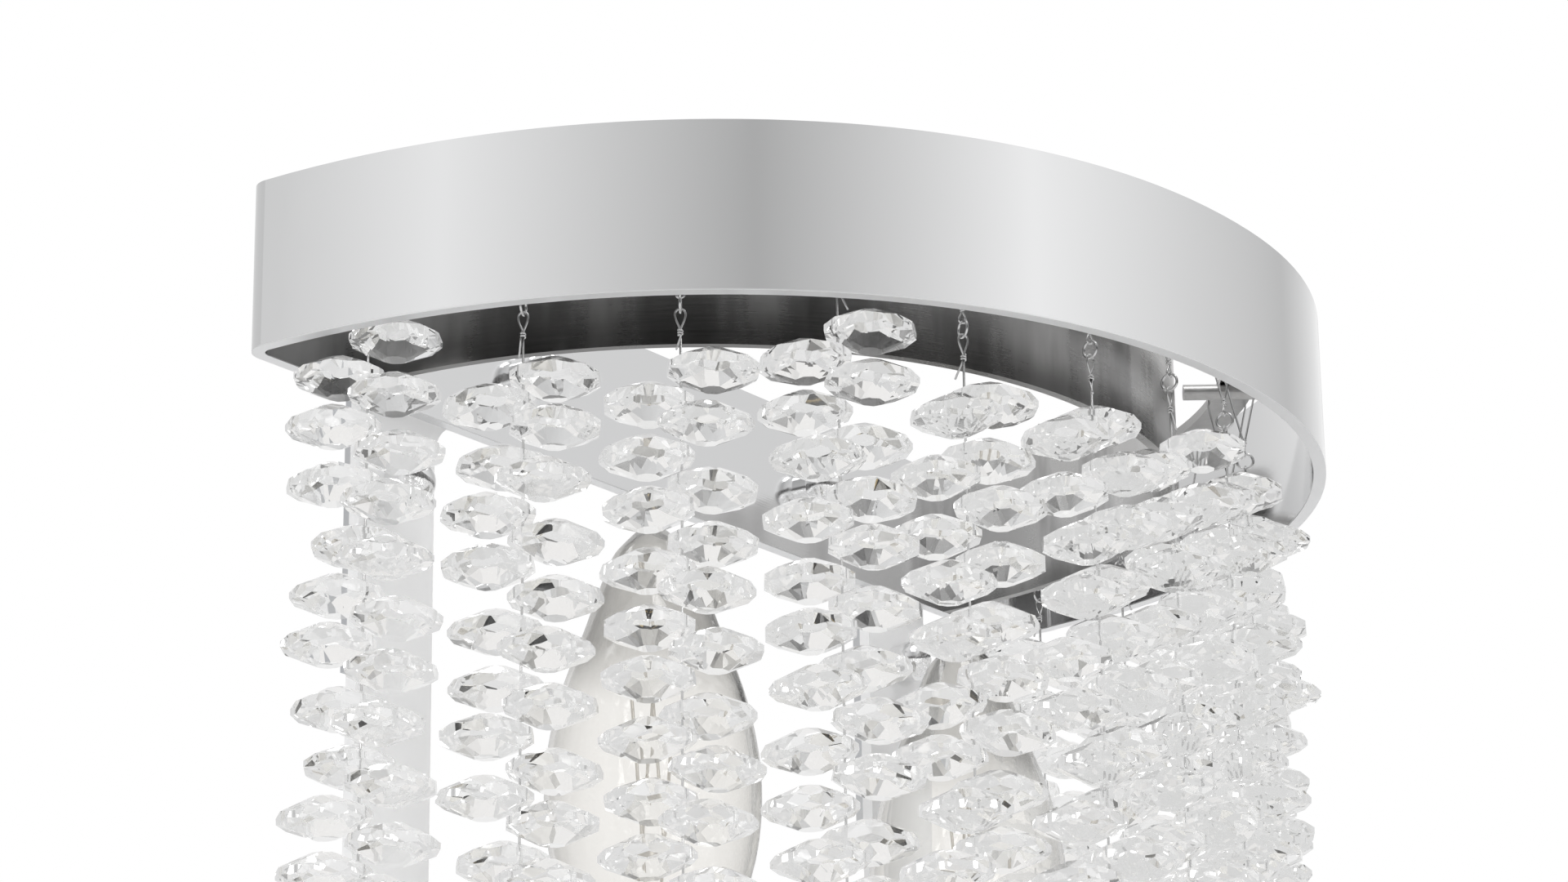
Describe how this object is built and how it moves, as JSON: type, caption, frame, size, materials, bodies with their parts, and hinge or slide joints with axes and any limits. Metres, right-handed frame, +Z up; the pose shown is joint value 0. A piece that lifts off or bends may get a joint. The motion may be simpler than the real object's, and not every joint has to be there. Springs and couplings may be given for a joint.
{
  "type": "crystal wall sconce",
  "caption": "Half-round wall light: two polished metal bands with hanging strands of drilled crystal discs between them, in front of candle lamps on a shelf.",
  "frame": {"origin": "on the wall plane, midway between the four wall screw holes", "axes": "+Z up, +Y into the wall, -Y out of the wall towards the room, +X to the right seen from the room"},
  "size_m": [0.2031, 0.1131, 0.3048],
  "materials": {
    "chromed_band": "polished, softly brushed",
    "brushed_band": "brushed",
    "dark_steel": "brushed",
    "steel_wire": "bright drawn wire",
    "chromed_nut": "polished",
    "pale_paint": "satin",
    "zinc_steel": "zinc plated",
    "green_screw": "green plated",
    "black_rubber": "matte",
    "lead_insulation": "glossy insulation",
    "brass_shell": "plain",
    "holder_plastic": "matte",
    "sleeve_plastic": "satin",
    "clear_crystal": "cut and polished",
    "bulb_glass": "clear",
    "nickel_cap": "nickel",
    "filament_mount": "glass stem with tungsten filament"
  },
  "bodies": {
    "frame": {"outer_band": "chromed_band", "inner_band": "brushed_band", "bridge_rods": "dark_steel", "hanger_rail": "dark_steel", "hanger_wires": "steel_wire", "jump_rings": "steel_wire", "back_plate": "pale_paint", "wall_strips": "zinc_steel", "crossbar": "zinc_steel", "mounting_studs": "zinc_steel", "band_bolts": "zinc_steel", "ball_cap_nuts": "chromed_nut", "lamp_shelf": "pale_paint", "box_cover": "pale_paint", "shelf_screws": "zinc_steel", "cover_screws": "zinc_steel", "ground_screw": "green_screw", "wire_grommet": "black_rubber", "lamp_leads": "lead_insulation", "lamp_pipes": "zinc_steel", "pipe_nuts": "zinc_steel", "screw_shells": "brass_shell", "centre_contacts": "brass_shell", "lamp_holder_left": "holder_plastic", "lamp_holder_right": "holder_plastic", "candle_sleeve_left": "sleeve_plastic", "candle_sleeve_right": "sleeve_plastic"},
    "strand_01": {"strand_wire_01": "steel_wire", "crystal_strand_01": "clear_crystal"},
    "strand_02": {"strand_wire_02": "steel_wire", "crystal_strand_02": "clear_crystal"},
    "strand_03": {"strand_wire_03": "steel_wire", "crystal_strand_03": "clear_crystal"},
    "strand_04": {"strand_wire_04": "steel_wire", "crystal_strand_04": "clear_crystal"},
    "strand_05": {"strand_wire_05": "steel_wire", "crystal_strand_05": "clear_crystal"},
    "strand_06": {"strand_wire_06": "steel_wire", "crystal_strand_06": "clear_crystal"},
    "strand_07": {"strand_wire_07": "steel_wire", "crystal_strand_07": "clear_crystal"},
    "strand_08": {"strand_wire_08": "steel_wire", "crystal_strand_08": "clear_crystal"},
    "strand_09": {"strand_wire_09": "steel_wire", "crystal_strand_09": "clear_crystal"},
    "strand_10": {"strand_wire_10": "steel_wire", "crystal_strand_10": "clear_crystal"},
    "strand_11": {"strand_wire_11": "steel_wire", "crystal_strand_11": "clear_crystal"},
    "strand_12": {"strand_wire_12": "steel_wire", "crystal_strand_12": "clear_crystal"},
    "strand_13": {"strand_wire_13": "steel_wire", "crystal_strand_13": "clear_crystal"},
    "bulb_left": {"bulb_glass_left": "bulb_glass", "bulb_cap_left": "nickel_cap", "bulb_filament_left": "filament_mount"},
    "bulb_right": {"bulb_glass_right": "bulb_glass", "bulb_cap_right": "nickel_cap", "bulb_filament_right": "filament_mount"}
  },
  "joints": [
    {"name": "strand_swing_01", "type": "hinge", "parent": "frame", "child": "strand_01", "pos_m": [-0.08905, -0.01837, 0.0239], "axis": [-0.1133, 0.9936, 0], "range_deg": [-1.5, 8]},
    {"name": "strand_swing_02", "type": "hinge", "parent": "frame", "child": "strand_02", "pos_m": [-0.08318, -0.04305, 0.0156], "axis": [-0.3526, 0.9358, 0], "range_deg": [-1.5, 8]},
    {"name": "strand_swing_03", "type": "hinge", "parent": "frame", "child": "strand_03", "pos_m": [-0.07245, -0.06347, 0.0145], "axis": [-0.5739, 0.8189, 0], "range_deg": [-1.5, 8]},
    {"name": "strand_swing_04", "type": "hinge", "parent": "frame", "child": "strand_04", "pos_m": [-0.05707, -0.08025, 0.0218], "axis": [-0.7681, 0.6403, 0], "range_deg": [-1.5, 8]},
    {"name": "strand_swing_05", "type": "hinge", "parent": "frame", "child": "strand_05", "pos_m": [-0.04058, -0.091, 0.0135], "axis": [-0.896, 0.444, 0], "range_deg": [-1.5, 8]},
    {"name": "strand_swing_06", "type": "hinge", "parent": "frame", "child": "strand_06", "pos_m": [-0.01764, -0.09854, 0.015], "axis": [-0.9842, 0.1772, 0], "range_deg": [-1.5, 8]},
    {"name": "strand_swing_07", "type": "hinge", "parent": "frame", "child": "strand_07", "pos_m": [0.0027, -0.10002, 0.015], "axis": [-0.9997, -0.0232, 0], "range_deg": [-1.5, 8]},
    {"name": "strand_swing_08", "type": "hinge", "parent": "frame", "child": "strand_08", "pos_m": [0.02418, -0.09711, 0.015], "axis": [-0.9677, -0.252, 0], "range_deg": [-1.5, 8]},
    {"name": "strand_swing_09", "type": "hinge", "parent": "frame", "child": "strand_09", "pos_m": [0.0443, -0.08904, 0.015], "axis": [-0.8726, -0.4884, 0], "range_deg": [-1.5, 8]},
    {"name": "strand_swing_10", "type": "hinge", "parent": "frame", "child": "strand_10", "pos_m": [0.06146, -0.07631, 0.015], "axis": [-0.7211, -0.6928, 0], "range_deg": [-1.5, 8]},
    {"name": "strand_swing_11", "type": "hinge", "parent": "frame", "child": "strand_11", "pos_m": [0.07494, -0.05972, 0.015], "axis": [-0.5313, -0.8472, 0], "range_deg": [-1.5, 8]},
    {"name": "strand_swing_12", "type": "hinge", "parent": "frame", "child": "strand_12", "pos_m": [0.08406, -0.0406, 0.015], "axis": [-0.3268, -0.9451, 0], "range_deg": [-1.5, 8]},
    {"name": "strand_swing_13", "type": "hinge", "parent": "frame", "child": "strand_13", "pos_m": [0.08881, -0.02036, 0.015], "axis": [-0.1302, -0.9915, 0], "range_deg": [-1.5, 8]},
    {"name": "bulb_unscrew_left", "type": "hinge", "parent": "frame", "child": "bulb_left", "pos_m": [-0.042, -0.0345, -0.104], "axis": [0, 0, 1], "range_deg": [0, 1440]},
    {"name": "bulb_unscrew_right", "type": "hinge", "parent": "frame", "child": "bulb_right", "pos_m": [0.042, -0.0345, -0.104], "axis": [0, 0, 1], "range_deg": [0, 1440]}
  ]
}
